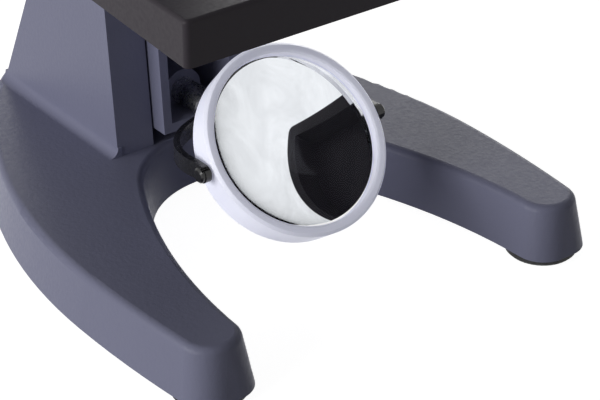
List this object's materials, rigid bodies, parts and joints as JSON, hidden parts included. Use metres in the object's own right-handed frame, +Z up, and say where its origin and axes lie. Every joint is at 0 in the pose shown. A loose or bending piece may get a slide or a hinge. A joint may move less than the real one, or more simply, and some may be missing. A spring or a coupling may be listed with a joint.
{
  "type": "monocular microscope",
  "caption": "Upright monocular microscope with horseshoe foot, inclinable limb, rack focus, turning nosepiece, stage clips and a tilting mirror",
  "frame": {"origin": "centre of the outline in X and Y, on the bench in Z, under the rubber feet", "axes": "+Z up along the tube, +Y from the open end of the horseshoe foot towards its rounded back, +X to the right hand of a person facing +Y"},
  "size_m": [0.143, 0.1818, 0.32],
  "materials": {
    "body_paint": "satin blue-grey enamel",
    "dark_steel": "blackened, semi-gloss",
    "bright_steel": "fine turned",
    "chromed": "bright plating",
    "brass": "plain turned",
    "foot_rubber": "matt",
    "bowl_plastic": "pale lavender moulding",
    "silvering": "front of silvered glass",
    "optical_glass": "clear",
    "knob_plastic": "black, fine texture"
  },
  "bodies": {
    "foot": {"base_casting": "body_paint", "rubber_feet": "foot_rubber", "foot_screws": "bright_steel", "hinge_bolt": "chromed", "hinge_nut": "chromed", "stop_buffer": "foot_rubber"},
    "limb": {"limb_arm": "body_paint", "friction_washers": "bright_steel", "stage": "body_paint", "stage_screws": "bright_steel", "condenser_mount": "dark_steel", "condenser_lens": "optical_glass", "diaphragm_screw": "bright_steel", "mirror_stem": "bright_steel", "yoke_screw": "bright_steel", "gib_plates": "bright_steel", "gib_screws": "bright_steel", "pinion_bushes": "brass", "clip_post_left": "chromed", "clip_post_right": "chromed"},
    "clip_left_body": {"clip_left": "chromed"},
    "clip_right_body": {"clip_right": "chromed"},
    "diaphragm": {"diaphragm_disc": "dark_steel"},
    "yoke": {"mirror_yoke": "dark_steel", "pivot_pins": "bright_steel"},
    "mirror": {"mirror_bowl": "bowl_plastic", "mirror_glass": "silvering"},
    "focus_drive": {"pinion_shaft": "bright_steel", "pinion": "brass", "knob_left": "knob_plastic", "knob_right": "knob_plastic", "knob_screws": "bright_steel"},
    "tube": {"body_tube": "body_paint", "slide_bar": "bright_steel", "tube_screws": "bright_steel", "rack": "brass", "nosepiece_mount": "dark_steel", "nosepiece_screw": "bright_steel"},
    "nosepiece": {"nosepiece_turret": "chromed", "objective_4x": "chromed", "objective_10x": "chromed", "objective_40x": "chromed", "objective_lenses": "optical_glass"},
    "eyepiece": {"eyepiece_barrel": "knob_plastic", "eyecup": "foot_rubber", "eye_lens": "optical_glass", "field_lens": "optical_glass"}
  },
  "joints": [
    {"name": "limb_tilt", "type": "hinge", "parent": "foot", "child": "limb", "pos_m": [0, 0.0282, 0.0835], "axis": [-1, 0, 0], "range_deg": [0, 45]},
    {"name": "clip_left_swing", "type": "hinge", "parent": "limb", "child": "clip_left_body", "pos_m": [-0.044, -0.0144, 0.105], "axis": [0, 0, 1], "range_deg": [-20, 30]},
    {"name": "clip_right_swing", "type": "hinge", "parent": "limb", "child": "clip_right_body", "pos_m": [0.044, -0.0144, 0.105], "axis": [0, 0, 1], "range_deg": [-30, 20]},
    {"name": "diaphragm_turn", "type": "hinge", "parent": "limb", "child": "diaphragm", "pos_m": [0.014, -0.0384, 0.0933], "axis": [0, 0, 1], "continuous": true},
    {"name": "mirror_swivel", "type": "hinge", "parent": "limb", "child": "yoke", "pos_m": [0, -0.0034, 0.0304], "axis": [0, 1, 0], "range_deg": [-45, 45]},
    {"name": "mirror_tilt", "type": "hinge", "parent": "yoke", "child": "mirror", "pos_m": [0, -0.0384, 0.0359], "axis": [1, 0, 0], "range_deg": [-60, 40]},
    {"name": "focus_turn", "type": "hinge", "parent": "limb", "child": "focus_drive", "pos_m": [0, -0.00415, 0.218], "axis": [-1, 0, 0], "range_deg": [-19.3, 429.9]},
    {"name": "focus_slide", "type": "slide", "parent": "limb", "child": "tube", "axis": [0, 0, 1], "range_m": [-0.002, 0.045]},
    {"name": "nosepiece_turn", "type": "hinge", "parent": "tube", "child": "nosepiece", "pos_m": [0, -0.05482, 0.1494], "axis": [0, 0.2588, 0.9659], "continuous": true},
    {"name": "eyepiece_turn", "type": "hinge", "parent": "tube", "child": "eyepiece", "pos_m": [0, -0.0384, 0.3], "axis": [0, 0, 1], "continuous": true}
  ],
  "couplings": [
    {"joint": "focus_turn", "follows": "focus_slide", "rad_per_m": 166.67}
  ]
}
